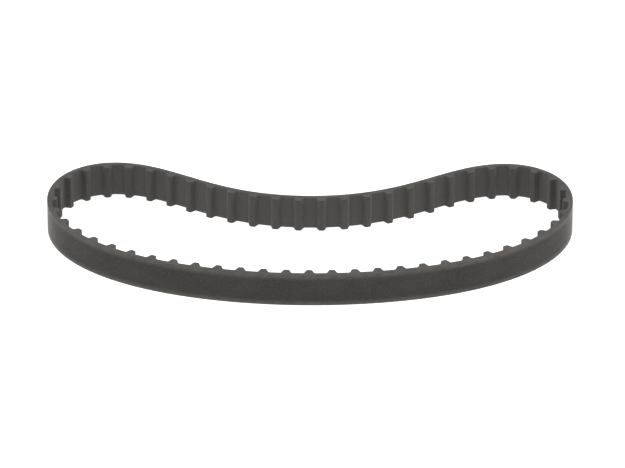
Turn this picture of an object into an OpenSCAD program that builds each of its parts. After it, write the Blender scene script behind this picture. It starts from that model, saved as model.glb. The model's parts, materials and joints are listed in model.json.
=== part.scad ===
// Endless toothed belt, standing on one cut edge, as a ring of links that flex on the cord line.
// The belt runs anticlockwise seen from above. Arc positions count pitches from the middle
// of the front span, and offsets from the cord line are positive towards the belt's back.

/* [Belt] */
// Distance between teeth, along the cord line
pitch = 5.08; // [4.9:0.01:5.3]
// Teeth on each link
link_teeth = 5; // [3:2:7]
// Width from cut edge to cut edge
belt_w = 7.94; // [6.35:0.01:9.53]
// Rubber from the cord line out to the back
back_t = 0.776; // [0.6:0.002:1.1]
// Depth from the cord line in to the land between two teeth
land_depth = 0.254; // [0.252:0.001:0.35]

/* [Teeth] */
// Height of a tooth above the land
tooth_h = 1.27; // [1:0.01:1.4]
// Width of a tooth where its flanks meet the land
root_w = 2.35; // [2.2:0.01:2.6]
// Angle of a flank from the tooth's centre line
flank_a = 25; // [20:0.5:27]
// Radius of the fillets at a tooth's tip
tip_r = 0.38; // [0.25:0.01:0.45]
// Radius of the fillets at a tooth's root
root_r = 0.38; // [0.25:0.01:0.45]

/* [Fabric facing] */
// Thickness of the fabric over the teeth and lands
facing_t = 0.1; // [0.06:0.01:0.11]

/* [Tension cord] */
// Side of a strand's square section, which has the area of a round cord a little thicker
strand = 0.26; // [0.2:0.01:0.28]
// Climb of the cord in one turn round the belt
lead = 0.56; // [0.4:0.01:0.8]
// Rubber left beside the outermost strands
edge_cover = 0.4; // [0.3:0.05:0.6]

/* [Resting shape] */
// Swing of the belt's direction that draws the ring out into an oval, in degrees
oval = -46.2; // [-50:0.1:-42]
// Swing that presses the back span in towards the front span
dip = 14.2; // [8:0.1:16]
// Swing that widens the shoulders beside the dip
shoulder = 3.6; // [0:0.1:5]
// Swing that flattens the spans beside the end bends
flat = -4.3; // [-5:0.1:0]
// Swing that tightens the end bends
tight = 1.3; // [0:0.1:2]

/* [Flexing] */
// Half of the wedge left open between two links, from the flex line
relief_a = 10; // [9:0.5:14]
// Gap between two links on the flex line
link_gap = 0.03; // [0.02:0.01:0.06]
// Gap between the two links that no flex line joins
open_gap = 0.3; // [0.2:0.05:0.5]

/* [Hidden] */
link_count = 11;
tooth_count = link_count * link_teeth;
after_pivot = (link_count + 3) / 2;

swings = [oval, dip, shoulder, flat, tight];
grid = 8;
cord_grid = 4;
steps = tooth_count * grid;
core_depth = land_depth - facing_t;
turns = floor((belt_w - 2 * edge_cover - strand) / lead);
first_strand = (belt_w - turns * lead - strand) / 2 + lead / (2 * link_count);
fillet_steps = 4;
fillet_turn = 90 - flank_a;
tip_x = root_w / 2 - tooth_h * tan(flank_a) - tip_r * tan(fillet_turn / 2);
root_x = root_w / 2 + root_r * tan(fillet_turn / 2);
balance = balanced(0, 30, reach(0), reach(30));
path = [
    for (i = 0, p = [0, 0]; i <= steps; p = p + pitch / grid * along(course((i + 0.5) / grid)), i = i + 1) p
];
back_y = [for (i = [0 : steps - 1]) path[i].y - back_t * cos(course(i / grid))];
centre_y = (max(back_y) + min(back_y)) / 2;

// ---- names and directions ----

function label(part, k) = str(part, k < 10 ? "_0" : "_", k);
function along(angle) = [cos(angle), sin(angle)];
function outward(angle) = [sin(angle), -cos(angle)];

// ---- the cord line ----

// Direction of the belt at an arc position, where first_swing is the size of the first swing
function direction(s, first_swing) =
    360 * s / tooth_count + first_swing * sin(360 * s / tooth_count)
    + sum([for (k = [0 : len(swings) - 1]) swings[k] * sin(360 * (k + 2) * s / tooth_count)]);
function sum(list, i = 0) = i == len(list) ? 0 : list[i] + sum(list, i + 1);

// How far half of the ring reaches past its mirror line, in grid steps: nothing when the ring closes
function reach(first_swing) =
    sum([for (i = [0 : steps / 2 - 1]) cos(direction((i + 0.5) / grid, first_swing))]);

// The first swing that closes the ring, by the secant rule
function balanced(a, b, reach_a, reach_b) =
    abs(reach_b) < 1e-9 ? b
    : let (c = b - reach_b * (b - a) / (reach_b - reach_a)) balanced(b, c, reach_b, reach(c));

function course(s) = direction(s, balance);

// The point at an arc position and an offset from the cord line, in the part's own frame
function at(s, offset) =
    let (w = s * grid, i = (floor(w) + steps) % steps, f = w - floor(w))
    path[i] + f * (path[(i + 1) % steps] - path[i]) + offset * outward(course(s)) - [0, centre_y];

// ---- the tooth profile, as [distance along the belt, depth below the land] ----

// Half of a tooth from its middle to its root, at a depth of skin under the surface
function half_tooth(skin) = concat(
    [for (k = [0 : fillet_steps]) let (turn = 90 - fillet_turn * k / fillet_steps)
        [tip_x + (tip_r - skin) * cos(turn), tooth_h - tip_r + (tip_r - skin) * sin(turn)]],
    [for (k = [0 : fillet_steps]) let (turn = 180 + flank_a + fillet_turn * k / fillet_steps)
        [root_x + (root_r + skin) * cos(turn), root_r + (root_r + skin) * sin(turn)]]
);

function mirrored(half) = [for (i = [len(half) - 1 : -1 : 0]) [-half[i].x, half[i].y]];

function whole_tooth(skin) = concat(mirrored(half_tooth(skin)), half_tooth(skin));

// A profile laid on the cord line round the tooth at arc position s
function laid(profile, s) = [for (p = profile) at(s + p.x / pitch, -land_depth - p.y)];

// ---- links ----

// End 0 of link k is its low end and end 1 its high end. The ring's open pivot is opposite link 1,
// at the low end of the link after_pivot
function start_of(k) = (k - 1.5) * link_teeth;
function tooth_at(k, i) = start_of(k) + i + 0.5;
function half_gap(k, end) = (k + end == after_pivot ? open_gap : link_gap) / 2;
function relief(k, end, offset) = (half_gap(k, end) + abs(offset) * tan(relief_a)) / pitch;

// Ends of link k at an offset from the cord line, as arc positions
function low_end(k, offset) = start_of(k) + relief(k, 0, offset);
function high_end(k, offset) = start_of(k) + link_teeth - relief(k, 1, offset);

// Arc positions inside link k: evenly spaced, or where a tooth's foot or a land's middle is
function even_marks(k, per_pitch) =
    [for (i = [1 : link_teeth * per_pitch - 1]) start_of(k) + i / per_pitch];
function foot_marks(s) = [for (share = [-1, -0.5, 0, 0.5, 1]) s + share * root_x / pitch];
function seam_marks(k) = [
    for (i = [0 : link_teeth - 1]) each concat(foot_marks(tooth_at(k, i)), land_mark(k, i))
];
function land_mark(k, i) = i < link_teeth - 1 ? [tooth_at(k, i) + 0.5] : [];

// Edge of link k at one offset, from its low end through the marks to its high end
function edge(k, offset, marks) = concat(
    [at(low_end(k, offset), offset)],
    [for (s = marks) at(s, offset)],
    [at(high_end(k, offset), offset)]
);

function reversed(list) = [for (i = [len(list) - 1 : -1 : 0]) list[i]];

// Band of link k between two edges, with its narrowest gap to the next link on the cord line
module band(k, inner_edge, outer_edge) {
    polygon(concat(outer_edge, [at(high_end(k, 0), 0)], reversed(inner_edge), [at(low_end(k, 0), 0)]));
}

// ---- sub-parts ----

module backing(k) {
    color("#4b4845")
        linear_extrude(belt_w)
            band(k, edge(k, -core_depth, seam_marks(k)), edge(k, back_t, even_marks(k, grid)));
}

// One link's length of every turn of the cord, which climbs one lead in a turn from the open pivot
module cord(k) {
    climb = ((k - after_pivot + link_count) % link_count) * lead / link_count;
    marks = even_marks(k, cord_grid);
    color("#26201c")
        for (turn = [0 : turns - 1])
            translate([0, 0, first_strand + climb + turn * lead])
                linear_extrude(strand)
                    band(k, edge(k, -strand / 2, marks), edge(k, strand / 2, marks));
}

// The rubber of the link's teeth, from the backing to the underside of the fabric
module teeth(k) {
    color("#45423f")
        for (i = [0 : link_teeth - 1]) {
            s = tooth_at(k, i);
            foot = [for (mark = foot_marks(s)) at(mark, -core_depth)];
            linear_extrude(belt_w)
                polygon(concat(laid(whole_tooth(facing_t), s), [foot[3], foot[2], foot[1]]));
        }
}

// The side of the fabric at a depth of skin under its surface, without the link's two ends
function fabric_side(k, skin) = [
    for (i = [0 : link_teeth - 1]) each concat(
        laid(whole_tooth(skin), tooth_at(k, i)),
        [for (s = land_mark(k, i)) at(s, skin - land_depth)]
    )
];

module facing(k) {
    color("#383633")
        linear_extrude(belt_w)
            polygon(concat(
                [at(low_end(k, -land_depth), -land_depth)],
                fabric_side(k, 0),
                [at(high_end(k, -land_depth), -land_depth), at(high_end(k, -core_depth), -core_depth)],
                reversed(fabric_side(k, facing_t)),
                [at(low_end(k, -core_depth), -core_depth)]
            ));
}

for (k = [1 : link_count]) {
    backing(k);
    cord(k);
    teeth(k);
    facing(k);
}
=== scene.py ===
"""Looks of an endless toothed belt that stands on its cut edge. Lengths are in metres, except in the
belt's own materials, which work in millimetres along the belt (u) and round its section (v)."""
import json
import math
import bpy
import numpy as np
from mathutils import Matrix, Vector

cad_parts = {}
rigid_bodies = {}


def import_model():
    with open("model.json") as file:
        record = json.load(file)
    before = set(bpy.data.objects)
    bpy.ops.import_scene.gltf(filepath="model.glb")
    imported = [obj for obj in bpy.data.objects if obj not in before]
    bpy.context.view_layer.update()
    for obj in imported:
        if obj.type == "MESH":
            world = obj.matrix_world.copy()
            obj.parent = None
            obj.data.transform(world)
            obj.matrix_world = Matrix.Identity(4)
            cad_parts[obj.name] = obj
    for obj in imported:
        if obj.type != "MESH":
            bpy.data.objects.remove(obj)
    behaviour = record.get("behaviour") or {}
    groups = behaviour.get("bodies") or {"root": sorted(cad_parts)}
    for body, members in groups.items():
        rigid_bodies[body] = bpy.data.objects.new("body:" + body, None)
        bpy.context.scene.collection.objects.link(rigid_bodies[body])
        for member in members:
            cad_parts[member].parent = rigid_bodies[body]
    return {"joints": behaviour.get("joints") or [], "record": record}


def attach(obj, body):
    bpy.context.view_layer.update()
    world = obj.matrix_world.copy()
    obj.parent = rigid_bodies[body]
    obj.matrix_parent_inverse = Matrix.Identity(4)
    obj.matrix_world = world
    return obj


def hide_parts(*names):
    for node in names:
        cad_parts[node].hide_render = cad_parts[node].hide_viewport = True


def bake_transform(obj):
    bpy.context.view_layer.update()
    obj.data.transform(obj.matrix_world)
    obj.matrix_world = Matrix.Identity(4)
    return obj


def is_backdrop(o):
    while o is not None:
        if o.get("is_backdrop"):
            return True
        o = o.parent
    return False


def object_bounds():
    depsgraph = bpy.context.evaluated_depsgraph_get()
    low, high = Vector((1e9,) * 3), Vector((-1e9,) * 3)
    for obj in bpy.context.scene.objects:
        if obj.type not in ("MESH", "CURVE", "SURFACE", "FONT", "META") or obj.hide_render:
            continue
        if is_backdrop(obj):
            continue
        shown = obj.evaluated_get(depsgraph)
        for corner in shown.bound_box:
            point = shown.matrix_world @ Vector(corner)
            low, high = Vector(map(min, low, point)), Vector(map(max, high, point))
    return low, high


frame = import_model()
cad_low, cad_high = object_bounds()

MM = 0.001

# ---- the belt, as the part's source has it ----

PITCH = 5.08 * MM
TEETH = 55
LINK_TEETH = 5
BACK = 0.776 * MM  # from the cord line out to the back
LAND = 0.254 * MM  # from the cord line in to the lands
FACING = 0.1 * MM  # thickness of the fabric
CORE = LAND - FACING  # from the cord line in to the rubber under the fabric
TOOTH_H = 1.27 * MM
ROOT_W = 2.35 * MM
FLANK = math.radians(25)
FILLET = 0.38 * MM  # at the tip and at the root of a tooth
CORD_D = 0.26 * MM
CORD_LEAD = 0.56 * MM
CORD_TURNS = 12
SWINGS = (-46.2, 14.2, 3.6, -4.3, 1.3)  # swings of the belt's direction, in degrees, from the second on
WIDTH = cad_high.z - cad_low.z

# ---- the cut at the open pivot, where the ring of links is open and the cord starts and ends ----

OPEN_PIVOT = TEETH / 2  # in pitches from the middle of the front span
HAIRLINE = 0.003 * MM  # left clear on each side of the cut
LEAN_OUT, LEAN_UP = 0.35, 0.03  # slope of the cut, outward and upward, so that nothing shows through it
LEAN_REACH = 0.2  # pitches over which the lean fades on each side of the cut

# ---- how finely the pieces are made ----

FINE = 64  # steps in a pitch where the cord line is worked out
STATIONS = 12  # cross-sections in a pitch of the backing
CORD_STATIONS = 4  # cross-sections in a pitch of the cord
CORD_SIDES = 10
ROWS = 10  # spans across the belt's width
EDGE_STEPS = 3  # in a rounded edge
CROWN_STEPS = 2  # in half of a tooth's crown
FLANK_STEPS = 3
FILLET_STEPS = 6
LAND_STEPS = 6  # in half of a land
FOOT_STEPS = 11  # in the foot of a tooth's rubber
SHARP = math.radians(50)  # a crease between faces from this angle on isn't smoothed

# ---- how uneven the belt is ----

EDGE_R = 0.07 * MM  # rounding of the cut edges
FABRIC_EDGE_R = 0.35 * FACING
CUT_WAVE = 0.022 * MM  # how far the knife wandered
BACK_WAVE = 0.010 * MM  # how uneven the grinding left the back
WAVE_TURNS = (7, 16, 29, 43, 71, 97)  # waves in one turn of the belt, whole numbers so that they close
LOWER_CUT, UPPER_CUT, GROUND_BACK = 1.0, 4.0, 2.0  # seeds of the waves on each surface
YARNS = 1370  # yarns of the fabric round the belt, an even number so that the weave closes

AT_JOINT = 0.05 * MM  # how near to a joint's axis counts as on it
BACK_FACE, CUT_FACE = 0, 1  # material numbers on the backing


class CordLine:
    """The closed curve that keeps its length as the belt bends. Arc positions count pitches."""

    def __init__(self):
        self.first = self._balanced()
        middles = (np.arange(TEETH * FINE) + 0.5) / FINE
        turned = self.course(middles)
        steps = np.stack([np.cos(turned), np.sin(turned)], 1) * PITCH / FINE
        self.points = np.vstack([[0, 0], np.cumsum(steps, 0)])
        back_y = self.points[:, 1] - BACK * np.cos(self.course(np.arange(len(self.points)) / FINE))
        self.points[:, 1] -= (back_y.max() + back_y.min()) / 2

    def _direction(self, s, first):
        u = 2 * math.pi * np.asarray(s, float) / TEETH
        angle = u + first * np.sin(u)
        for k, swing in enumerate(SWINGS):
            angle = angle + math.radians(swing) * np.sin((k + 2) * u)
        return angle

    def _balanced(self):
        """The size of the first swing that closes the ring, by the secant rule."""
        middles = (np.arange(TEETH * FINE // 2) + 0.5) / FINE
        a, b = 0.0, 0.5
        for _ in range(20):
            reach_a = np.cos(self._direction(middles, a)).sum()
            reach_b = np.cos(self._direction(middles, b)).sum()
            if abs(reach_b) < 1e-10:
                break
            a, b = b, b - reach_b * (b - a) / (reach_b - reach_a)
        return b

    def course(self, s):
        return self._direction(s, self.first)

    def at(self, s, offset, z):
        """Points at arc positions, at offsets outward from the cord line and heights z. Near the open
        pivot they lean along the belt."""
        s, offset, z = np.broadcast_arrays(np.asarray(s, float), offset, z)
        near_cut = np.clip(1 - np.abs(s - OPEN_PIVOT) / LEAN_REACH, 0, 1)
        s = s + near_cut * (LEAN_OUT * offset + LEAN_UP * (z - WIDTH / 2)) / PITCH
        w = np.mod(s, TEETH) * FINE
        i = np.minimum(w.astype(int), TEETH * FINE - 1)
        f = (w - i)[..., None]
        flat = self.points[i] * (1 - f) + self.points[i + 1] * f
        turned = self.course(s)
        out = np.stack([np.sin(turned), -np.cos(turned)], -1)
        return np.concatenate([flat + out * offset[..., None], z[..., None]], -1)


line = CordLine()


def waves(s, z, size, seed):
    """Gentle unevenness between 0 and size, which repeats once round the belt."""
    u = 2 * math.pi * np.asarray(s, float) / TEETH
    shift_along, shift_across = 1.7, 2.3  # radians from one wave to the next
    total = np.zeros(np.broadcast(s, z).shape)
    for k, turns in enumerate(WAVE_TURNS):
        wave = np.sin(turns * u + shift_along * k + seed)
        total = total + wave * np.cos(z / WIDTH * (k + 1) + shift_across * k * seed)
    return size * (0.5 + total / (2 * len(WAVE_TURNS)))


# ---- meshes ----

class Sweep:
    """Closed tubes made from rings of points: their points, their faces, one (u, v) for each corner of
    a face and one material number for each face."""

    def __init__(self):
        self.points, self.faces, self.uvs, self.kinds = [], [], [], []

    def add(self, rings, u, v, kinds=None, cap_places=None):
        """rings[i, j] is a point, u[i, j] and v[j] its place on the belt, and kinds[j] the material
        number of the span from point j to point j + 1, which is 0 if not given. cap_places[j] is the
        place of a point on the two ends, where they show."""
        first = len(self.points)
        count, size = rings.shape[:2]
        kinds = kinds or [0] * size
        self.points.extend(rings.reshape(-1, 3))
        for i in range(count - 1):
            for j in range(size):
                k = (j + 1) % size
                a, b = first + i * size, first + (i + 1) * size
                self.faces.append((a + j, b + j, b + k, a + k))
                v_k = v[j + 1]
                self.uvs += [(u[i, j], v[j]), (u[i + 1, j], v[j]), (u[i + 1, k], v_k), (u[i, k], v_k)]
                self.kinds.append(kinds[j])
        for row, order in ((0, range(size)), (count - 1, range(size - 1, -1, -1))):
            self.faces.append(tuple(first + row * size + j for j in order))
            if cap_places is None:
                self.uvs += [(u[row, j], v[j]) for j in order]
            else:
                self.uvs += [tuple(cap_places[j]) for j in order]
            self.kinds.append(kinds[0])

    def build(self, name, *materials):
        """All the tubes as one piece."""
        mesh = bpy.data.meshes.new(name)
        mesh.from_pydata([tuple(p) for p in self.points], [], self.faces)
        layer = mesh.uv_layers.new(name="belt")
        layer.data.foreach_set("uv", np.asarray(self.uvs, np.float32).ravel())
        for material in materials:
            mesh.materials.append(material)
        mesh.polygons.foreach_set("material_index", np.asarray(self.kinds, np.int32))
        mesh.shade_smooth()
        mesh.set_sharp_from_angle(angle=SHARP)
        mesh.update()
        piece = bpy.data.objects.new(name, mesh)
        bpy.context.scene.collection.objects.link(piece)
        return piece


def rounded_rows(radius):
    """Heights across the belt's width and how far a rounded edge pulls the surface in at each."""
    turn = np.linspace(0, math.pi / 2, EDGE_STEPS + 1)
    low = radius * (1 - np.cos(turn))
    pull = radius * (1 - np.sin(turn))
    middle = np.linspace(radius, WIDTH - radius, ROWS + 1)[1:-1]
    heights = np.concatenate([low, middle, WIDTH - low[::-1]])
    pulls = np.concatenate([pull, np.zeros(len(middle)), pull[::-1]])
    return heights, pulls


def cut_heights(s, heights):
    """Heights moved a little with the wander of the knife, most at the two cut edges."""
    lower = waves(s, 0.0, CUT_WAVE, LOWER_CUT)
    upper = waves(s, 0.0, CUT_WAVE, UPPER_CUT)
    share = heights / WIDTH
    return heights + lower * (1 - share) - upper * share


def backing_piece(name, s0, s1):
    """The rubber from under the fabric out to the ground back, with both cut edges."""
    count = int(round((s1 - s0) * STATIONS)) + 1
    s = np.linspace(s0, s1, count)[:, None]
    heights, pulls = rounded_rows(EDGE_R)
    inner = np.array([WIDTH, 0.0])
    z = np.concatenate([heights, inner])[None, :] + np.zeros_like(s)
    offset = np.concatenate([BACK - pulls, [-CORE, -CORE]])[None, :] + np.zeros_like(s)
    offset[:, :len(heights)] -= waves(s, heights[None, :], BACK_WAVE, GROUND_BACK)
    rings = line.at(s, offset, cut_heights(s, z))
    thick = BACK + CORE
    around = np.concatenate([heights, [WIDTH + thick, 2 * WIDTH + thick, 2 * WIDTH + 2 * thick]])
    kinds = [BACK_FACE] * (len(heights) - 1) + [CUT_FACE, BACK_FACE, CUT_FACE]
    u = np.repeat(s * PITCH / MM, rings.shape[1], 1)
    sweep = Sweep()
    sweep.add(rings, u, around / MM, kinds)
    return sweep.build(name, rubber_back, rubber_cut)


def half_tooth(skin):
    """Half of a tooth's outline from its middle to its root, as (along, depth below the land)."""
    turn = math.pi / 2 - FLANK
    tip_x = ROOT_W / 2 - TOOTH_H * math.tan(FLANK) - FILLET * math.tan(turn / 2)
    root_x = ROOT_W / 2 + FILLET * math.tan(turn / 2)
    share = np.linspace(0, 1, FILLET_STEPS + 1)
    tip = math.pi / 2 - turn * share
    root = math.pi + FLANK + turn * share
    flat = np.linspace(0, tip_x, CROWN_STEPS + 1)[:-1]
    crown = np.stack([flat, np.full(CROWN_STEPS, TOOTH_H - skin)], 1)
    tip_r, root_r = FILLET - skin, FILLET + skin
    top = np.stack([tip_x + tip_r * np.cos(tip), TOOTH_H - FILLET + tip_r * np.sin(tip)], 1)
    foot = np.stack([root_x + root_r * np.cos(root), FILLET + root_r * np.sin(root)], 1)
    middle = top[-1:] + (foot[:1] - top[-1:]) * np.linspace(0, 1, FLANK_STEPS + 1)[1:-1, None]
    return np.vstack([crown, top, middle, foot])


def whole_tooth(skin):
    half = half_tooth(skin)
    return np.vstack([half[:0:-1] * [-1, 1], half])


def pitch_outline(skin):
    """One pitch of the surface from land centre to land centre, as (along, depth below the land)."""
    tooth = whole_tooth(skin)
    land = np.linspace(tooth[-1, 0], PITCH / 2, LAND_STEPS + 1)[1:]
    right = np.stack([land, np.full(len(land), -skin)], 1)
    left = right[::-1] * [-1, 1]
    return np.vstack([left, tooth, right])


def fabric_pitch():
    """Length of the fabric's surface over one pitch, in millimetres."""
    return float(np.linalg.norm(np.diff(pitch_outline(0.0), axis=0), axis=1).sum() / MM)


def teeth_piece(name, s0, s1):
    """The rubber cores of the teeth between two lands. Their cut ends are one with the backing's."""
    sweep = Sweep()
    outline = whole_tooth(FACING)
    foot = np.linspace(outline[-1, 0], outline[0, 0], FOOT_STEPS + 1)[1:-1]
    outline = np.vstack([outline, np.stack([foot, np.full(len(foot), -FACING)], 1)])
    steps = np.linalg.norm(np.diff(outline, axis=0, append=outline[:1]), axis=1)
    around = np.concatenate([[0], np.cumsum(steps)]) / MM
    rows = np.linspace(0, WIDTH, ROWS + 1)[:, None]
    for tooth in range(math.ceil(s0), math.floor(s1) + 1):
        s = tooth + outline[None, :, 0] / PITCH
        rings = line.at(s, -LAND - outline[None, :, 1], cut_heights(s, rows))[::-1]
        across = np.repeat(rows[::-1] / MM, len(outline), 1)
        on_cut = np.stack([s[0] * PITCH, WIDTH + BACK + LAND + outline[:, 1]], 1) / MM
        sweep.add(rings, across, around, cap_places=on_cut)
    return sweep.build(name, rubber_cut)


def facing_piece(name, s0, s1):
    """The fabric skin over the teeth and lands between the centres of two lands."""
    outer, inner = pitch_outline(0.0), pitch_outline(FACING)
    lengths = np.concatenate([[0], np.cumsum(np.linalg.norm(np.diff(outer, axis=0), axis=1))])
    first, last = math.ceil(s0), math.floor(s1)
    s, depth, under_s, under, u = [], [], [], [], []
    for tooth in range(first, last + 1):
        s.append(tooth + outer[:, 0] / PITCH)
        under_s.append(tooth + inner[:, 0] / PITCH)
        depth.append(outer[:, 1])
        under.append(inner[:, 1])
        u.append((tooth * lengths[-1] + lengths) / MM)
    keep = np.ones(len(outer) * len(s), bool)
    keep[len(outer)::len(outer)] = False
    s, depth, under_s, under, u = (np.concatenate(x)[keep] for x in (s, depth, under_s, under, u))
    heights, pulls = rounded_rows(FABRIC_EDGE_R)
    s, under_s = (np.clip(x, s0, s1)[:, None] for x in (s, under_s))
    top = line.at(s, -LAND - depth[:, None] + pulls, cut_heights(s, heights[None, :]))
    hidden = line.at(under_s, -LAND - under[:, None], cut_heights(under_s, np.array([[WIDTH, 0.0]])))
    rings = np.concatenate([top, hidden], 1)[::-1]
    around = np.concatenate([heights, [WIDTH + FACING, 2 * WIDTH + FACING, 2 * WIDTH + 2 * FACING]]) / MM
    sweep = Sweep()
    sweep.add(rings, np.repeat(u[::-1, None], rings.shape[1], 1), around)
    return sweep.build(name, nylon)


def cord_piece(name, s0, s1):
    """The cord's turns between two places: round strands that climb one lead in a turn of the belt."""
    sweep = Sweep()
    count = int(round((s1 - s0) * CORD_STATIONS)) + 1
    s = np.linspace(s0, s1, count)[:, None]
    angle = np.linspace(0, 2 * math.pi, CORD_SIDES + 1)[None, :-1]
    bottom = (WIDTH - CORD_TURNS * CORD_LEAD) / 2
    unwound = TEETH if s0 < OPEN_PIVOT else 0
    around = np.linspace(0, math.pi * CORD_D / MM, CORD_SIDES + 1)
    for turn in range(CORD_TURNS):
        climb = bottom + (turn + (s - OPEN_PIVOT + unwound) / TEETH) * CORD_LEAD
        rings = line.at(s, CORD_D / 2 * np.cos(angle), climb + CORD_D / 2 * np.sin(angle))
        sweep.add(rings, np.repeat(s * PITCH / MM, CORD_SIDES, 1), around)
    return sweep.build(name, glass_cord)


# ---- materials ----

class Nodes:
    """A material's node tree, with one call for each node. Its patterns close on themselves after a
    length in millimetres along the belt."""

    def __init__(self, name, length=TEETH * PITCH / MM):
        self.material = bpy.data.materials.new(name)
        self.material.use_nodes = True
        self.tree = self.material.node_tree
        self.shader = self.tree.nodes["Principled BSDF"]
        uv = self.tree.nodes.new("ShaderNodeUVMap")
        uv.uv_map = "belt"
        place = self.tree.nodes.new("ShaderNodeSeparateXYZ")
        self.put(uv.outputs["UV"], place.inputs[0])
        self.along, self.across = place.outputs[0], place.outputs[1]
        radius = length / (2 * math.pi)
        turn = self.math("DIVIDE", self.along, radius)
        ring = self.tree.nodes.new("ShaderNodeCombineXYZ")
        self.put(self.math("MULTIPLY", self.math("COSINE", turn), radius), ring.inputs[0])
        self.put(self.math("MULTIPLY", self.math("SINE", turn), radius), ring.inputs[1])
        self.put(self.across, ring.inputs[2])
        self.ring = ring.outputs[0]

    def put(self, value, socket):
        if hasattr(value, "links"):
            self.tree.links.new(value, socket)
        else:
            socket.default_value = value

    def math(self, kind, a, b=0.0, c=0.0):
        node = self.tree.nodes.new("ShaderNodeMath")
        node.operation = kind
        for value, socket in zip((a, b, c), node.inputs):
            self.put(value, socket)
        return node.outputs[0]

    def noise(self, along, across, detail=3.0, roughness=0.55, distortion=0.0):
        """Noise with about so many features in a millimetre along the belt and round its section."""
        place = self.tree.nodes.new("ShaderNodeMapping")
        self.put(self.ring, place.inputs["Vector"])
        place.inputs["Scale"].default_value = (along, along, across)
        node = self.tree.nodes.new("ShaderNodeTexNoise")
        self.put(place.outputs[0], node.inputs["Vector"])
        node.inputs["Scale"].default_value = 1.0
        node.inputs["Detail"].default_value = detail
        node.inputs["Roughness"].default_value = roughness
        node.inputs["Distortion"].default_value = distortion
        return node.outputs["Fac"]

    def grain(self):
        """The fine grain of the rubber."""
        return self.noise(along=7.0, across=7.0, detail=4.0, roughness=0.7)

    def ramp(self, value, low, high, out_low=0.0, out_high=1.0):
        """A smooth step from out_low to out_high as the value goes from low to high."""
        node = self.tree.nodes.new("ShaderNodeMapRange")
        node.interpolation_type = "SMOOTHSTEP"
        self.put(value, node.inputs["Value"])
        for socket, number in zip(node.inputs[1:5], (low, high, out_low, out_high)):
            socket.default_value = number
        return node.outputs[0]

    def mix(self, factor, a, b):
        node = self.tree.nodes.new("ShaderNodeMix")
        node.data_type = "RGBA"
        self.put(factor, node.inputs[0])
        self.put(a, node.inputs[6])
        self.put(b, node.inputs[7])
        return node.outputs[2]

    def tint(self, colour, tone, pattern, low, high, share):
        """The colour with up to a share of the tone over it, as the pattern goes from low to high."""
        return self.mix(self.ramp(pattern, low, high, 0.0, share), colour, tone)

    def bump(self, height, distance):
        node = self.tree.nodes.new("ShaderNodeBump")
        node.inputs["Distance"].default_value = distance
        node.inputs["Strength"].default_value = 1.0
        self.put(height, node.inputs["Height"])
        return node.outputs[0]

    def sheen(self, weight, roughness):
        self.shader.inputs["Sheen Weight"].default_value = weight
        self.shader.inputs["Sheen Roughness"].default_value = roughness

    def finish(self, colour, roughness, height, relief, specular):
        """The material, where the height from 0 to 1 stands for a relief in metres."""
        self.put(colour, self.shader.inputs["Base Color"])
        self.put(roughness, self.shader.inputs["Roughness"])
        self.put(self.bump(height, relief), self.shader.inputs["Normal"])
        self.shader.inputs["Specular IOR Level"].default_value = specular
        return self.material


def grey(value, warmth=0.08):
    """A warm dark grey, as linear red, green and blue."""
    return (value * (1 + warmth), value, value * (1 - warmth), 1.0)


def make_rubber_back():
    """Neoprene ground flat: fine lengthwise grinding marks, a chalky grain, and painted glare that makes
    both cut edges lighter.
    """
    n = Nodes("rubber_back")
    mottle = n.noise(along=0.09, across=0.22, detail=4.0)
    specks = n.noise(along=2.6, across=3.4, detail=4.0, roughness=0.7)
    grain = n.grain()
    marks = n.noise(along=0.35, across=9.0, roughness=0.6)
    colour = n.mix(n.ramp(mottle, 0.35, 0.68), grey(0.016), grey(0.023))
    colour = n.tint(colour, grey(0.052), specks, low=0.42, high=0.72, share=0.5)
    colour = n.tint(colour, grey(0.050), grain, low=0.45, high=0.75, share=0.4)
    colour = n.tint(colour, grey(0.048), marks, low=0.5, high=0.8, share=0.3)
    # Painted glare: the colour turns lighter towards both cut edges, broken into patches by a noise,
    # standing in for the halo of light round the edges.
    from_edge = n.math("MINIMUM", n.across, n.math("SUBTRACT", WIDTH / MM, n.across))
    edge_glare = n.ramp(from_edge, 0.0, 1.6, 0.9, 0.0)
    glare_breakup = n.ramp(n.noise(along=0.6, across=0.6), 0.25, 0.7, 0.5, 1.0)
    colour = n.mix(n.math("MULTIPLY", edge_glare, glare_breakup), colour, grey(0.080))
    roughness = n.ramp(grain, 0.3, 0.7, 0.7, 0.88)
    height = n.math("ADD", n.math("MULTIPLY", grain, 0.5), n.math("MULTIPLY", marks, 0.5))
    height = n.math("MULTIPLY_ADD", specks, 0.8, height)
    n.sheen(weight=0.3, roughness=0.3)
    return n.finish(colour, roughness, height, relief=0.03 * MM, specular=0.3)


def make_rubber_cut():
    """Rubber where the knife went through: paler, with lengthwise scores."""
    n = Nodes("rubber_cut")
    grain = n.grain()
    scores = n.noise(along=0.5, across=14.0, roughness=0.6, distortion=0.4)
    patches = n.noise(along=0.16, across=0.3)
    colour = n.mix(n.ramp(patches, 0.35, 0.7), grey(0.085, 0.05), grey(0.110, 0.05))
    colour = n.tint(colour, grey(0.115, 0.05), scores, low=0.45, high=0.75, share=0.6)
    colour = n.tint(colour, grey(0.045, 0.05), grain, low=0.5, high=0.8, share=0.4)
    roughness = n.ramp(scores, 0.3, 0.7, 0.62, 0.8)
    height = n.math("MULTIPLY_ADD", grain, 0.5, scores)
    return n.finish(colour, roughness, height, relief=0.03 * MM, specular=0.35)


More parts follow.
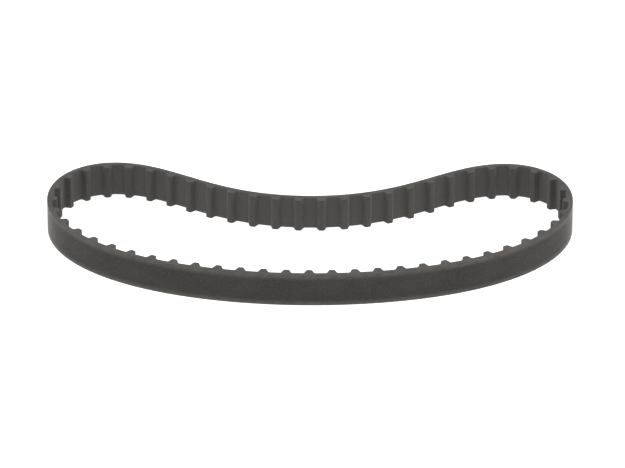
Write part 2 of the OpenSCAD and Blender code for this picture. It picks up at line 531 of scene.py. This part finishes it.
def make_nylon():
    """Woven nylon with the rubber pressed into it from behind, and painted light on the lands that
    offsets the shade in the hollows between the teeth.
    """
    length = TEETH * fabric_pitch()
    yarn = length / YARNS
    n = Nodes("nylon_facing", length)
    wave_u = n.math("SINE", n.math("MULTIPLY", n.along, math.pi / yarn))
    wave_v = n.math("SINE", n.math("MULTIPLY", n.across, math.pi / yarn))
    over = n.ramp(n.math("MULTIPLY", wave_u, wave_v), -0.06, 0.06)
    under = n.math("SUBTRACT", 1.0, over)
    size_u = n.math("ABSOLUTE", wave_u)
    size_v = n.math("ABSOLUTE", wave_v)
    warp = n.math("MULTIPLY", size_u, n.math("MULTIPLY_ADD", size_v, 0.5, 0.5))
    weft = n.math("MULTIPLY", size_v, n.math("MULTIPLY_ADD", size_u, 0.5, 0.5))
    weave = n.math("MULTIPLY_ADD", over, warp, n.math("MULTIPLY", under, weft))
    fibres = n.noise(along=9.0, across=26.0, roughness=0.6)
    pressed = n.noise(along=0.22, across=0.35, detail=4.0)
    phase = n.math("FRACT", n.math("DIVIDE", n.along, fabric_pitch()))
    from_crown = n.math("ABSOLUTE", n.math("SUBTRACT", phase, 0.5))
    colour = n.mix(n.ramp(weave, 0.15, 0.9), grey(0.026), grey(0.060))
    colour = n.tint(colour, grey(0.046), pressed, low=0.4, high=0.7, share=0.6)
    colour = n.tint(colour, grey(0.085), fibres, low=0.55, high=0.85, share=0.35)
    # Painted light: the lands between the teeth are made lighter than the crowns, to offset the shade
    # that falls in these hollows.
    colour = n.tint(colour, grey(0.075), from_crown, low=0.22, high=0.36, share=0.35)
    roughness = n.ramp(weave, 0.0, 1.0, 0.9, 0.7)
    relief = n.math("MULTIPLY", weave, n.ramp(pressed, 0.3, 0.75, 1.0, 0.55))
    height = n.math("MULTIPLY_ADD", fibres, 0.15, relief)
    n.sheen(weight=0.12, roughness=0.5)
    return n.finish(colour, roughness, height, relief=0.035 * MM, specular=0.3)


def make_glass_cord():
    """Twisted glass fibre, dark brown from its dip."""
    n = Nodes("glass_cord")
    twist = n.math("SINE", n.math("MULTIPLY_ADD", n.across, 24.0, n.math("MULTIPLY", n.along, 9.0)))
    colour = n.mix(n.ramp(twist, -0.7, 0.9), (0.014, 0.009, 0.006, 1.0), (0.052, 0.034, 0.022, 1.0))
    roughness = n.ramp(twist, -1.0, 1.0, 0.7, 0.5)
    return n.finish(colour, roughness, twist, relief=0.02 * MM, specular=0.4)


def make_floor_paper():
    """Plain pale paper with the faintest grain, lit from below a little as on a light table."""
    material = bpy.data.materials.new("floor_paper")
    material.use_nodes = True
    tree = material.node_tree
    shader = tree.nodes["Principled BSDF"]
    grain = tree.nodes.new("ShaderNodeTexNoise")
    grain.inputs["Scale"].default_value = 900.0
    ramp = tree.nodes.new("ShaderNodeValToRGB")
    ramp.color_ramp.elements[0].color = (0.90, 0.90, 0.90, 1.0)
    ramp.color_ramp.elements[1].color = (0.93, 0.93, 0.93, 1.0)
    tree.links.new(grain.outputs["Fac"], ramp.inputs["Fac"])
    tree.links.new(ramp.outputs["Color"], shader.inputs["Base Color"])
    shader.inputs["Roughness"].default_value = 0.9
    shader.inputs["Specular IOR Level"].default_value = 0.1
    shader.inputs["Emission Color"].default_value = (1.0, 1.0, 1.0, 1.0)
    shader.inputs["Emission Strength"].default_value = 0.7
    return material


rubber_back = make_rubber_back()
rubber_cut = make_rubber_cut()
nylon = make_nylon()
glass_cord = make_glass_cord()

# ---- the belt's pieces, from land to land round each flex line ----

joints = frame["joints"]
LAYERS = {"backing": backing_piece, "teeth": teeth_piece, "facing": facing_piece, "cord": cord_piece}


def joint_at(s):
    """The joint whose axis is on the cord line at an arc position, or None at the open pivot."""
    place = line.at(s, 0.0, WIDTH / 2)
    for joint in joints:
        if math.dist(joint["pos_m"][:2], place[:2]) < AT_JOINT:
            return joint
    return None


def nodes_of(layer, bodies):
    """The CAD nodes of a layer on some bodies."""
    members = frame["record"]["behaviour"]["bodies"]
    return [node for body in bodies for node in members[body] if node.startswith(layer + "_")]


def lay(number, s0, s1, flex):
    """The four layers of a run between two lands round the joint at the arc position flex, left in place
    and tied to neither link, or riding on the one link there if that is the open pivot."""
    joint = joint_at(flex)
    if joint:
        bodies = [joint["parent"], joint["child"]]
        pivot = line.at(flex, 0.0, WIDTH / 2)
    else:
        inward = -LINK_TEETH if s0 < OPEN_PIVOT else LINK_TEETH
        bodies = [joint_at(flex + inward)["child"]]
    for layer, make in LAYERS.items():
        piece = make(f"{layer}_run_{number:02d}", s0, s1)
        if joint:
            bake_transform(piece)
        else:
            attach(piece, bodies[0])
        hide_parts(*nodes_of(layer, bodies))


run = 1
for stretch in range(TEETH // LINK_TEETH):
    low = stretch * LINK_TEETH + 0.5  # the centre of the land before the run's first tooth
    middle = low + (LINK_TEETH - 1) / 2
    if joint_at(middle):
        lay(run, low, low + LINK_TEETH, middle)
        run += 1
    else:
        lay(run, low, middle - HAIRLINE / PITCH, middle)
        lay(run + 1, middle + HAIRLINE / PITCH, low + LINK_TEETH, middle)
        run += 2

# ---- floor, light and camera ----

FLOOR_SIZE = 6.0  # metres


def make_floor():
    bpy.ops.mesh.primitive_plane_add(size=FLOOR_SIZE, location=(0, 0, 0))
    floor = bpy.context.object
    floor.name = "floor"
    floor.data.materials.append(make_floor_paper())
    floor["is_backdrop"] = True


def softbox(name, place, size, power):
    """A round soft light that points at the origin."""
    data = bpy.data.lights.new(name, "AREA")
    data.shape = "DISK"
    data.size = size
    data.energy = power
    lamp = bpy.data.objects.new(name, data)
    bpy.context.scene.collection.objects.link(lamp)
    lamp.location = place
    lamp.rotation_euler = (-Vector(place)).to_track_quat("-Z", "Y").to_euler()


def make_world(strength):
    world = bpy.data.worlds.new("studio")
    world.use_nodes = True
    background = world.node_tree.nodes["Background"]
    background.inputs["Color"].default_value = (1.0, 1.0, 1.0, 1.0)
    background.inputs["Strength"].default_value = strength
    bpy.context.scene.world = world


def make_camera(aim, elevation, turn, distance, lens):
    """A camera that looks along +Y at the aim, down by the elevation and turned to the right by turn."""
    data = bpy.data.cameras.new("camera")
    data.lens = lens
    data.clip_start = distance / 10
    data.clip_end = distance * 10
    camera = bpy.data.objects.new("camera", data)
    bpy.context.scene.collection.objects.link(camera)
    level = math.cos(elevation)
    ahead = Vector((math.sin(turn) * level, math.cos(turn) * level, -math.sin(elevation)))
    camera.location = Vector(aim) - ahead * distance
    camera.rotation_euler = ahead.to_track_quat("-Z", "Y").to_euler()
    bpy.context.scene.camera = camera


make_floor()
make_world(strength=0.5)
softbox("key", place=(0.0, -1.3, 0.95), size=0.6, power=9)
softbox("left", place=(-0.9, 0.05, 0.35), size=0.7, power=4)
softbox("right", place=(0.9, 0.05, 0.35), size=0.7, power=5)
bpy.context.scene.view_settings.view_transform = "Standard"
make_camera(
    aim=(0.57 * MM, 5.88 * MM, 0.0),
    elevation=math.radians(33.25),
    turn=math.radians(-0.35),
    distance=1.902,
    lens=490.7,
)

low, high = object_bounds()
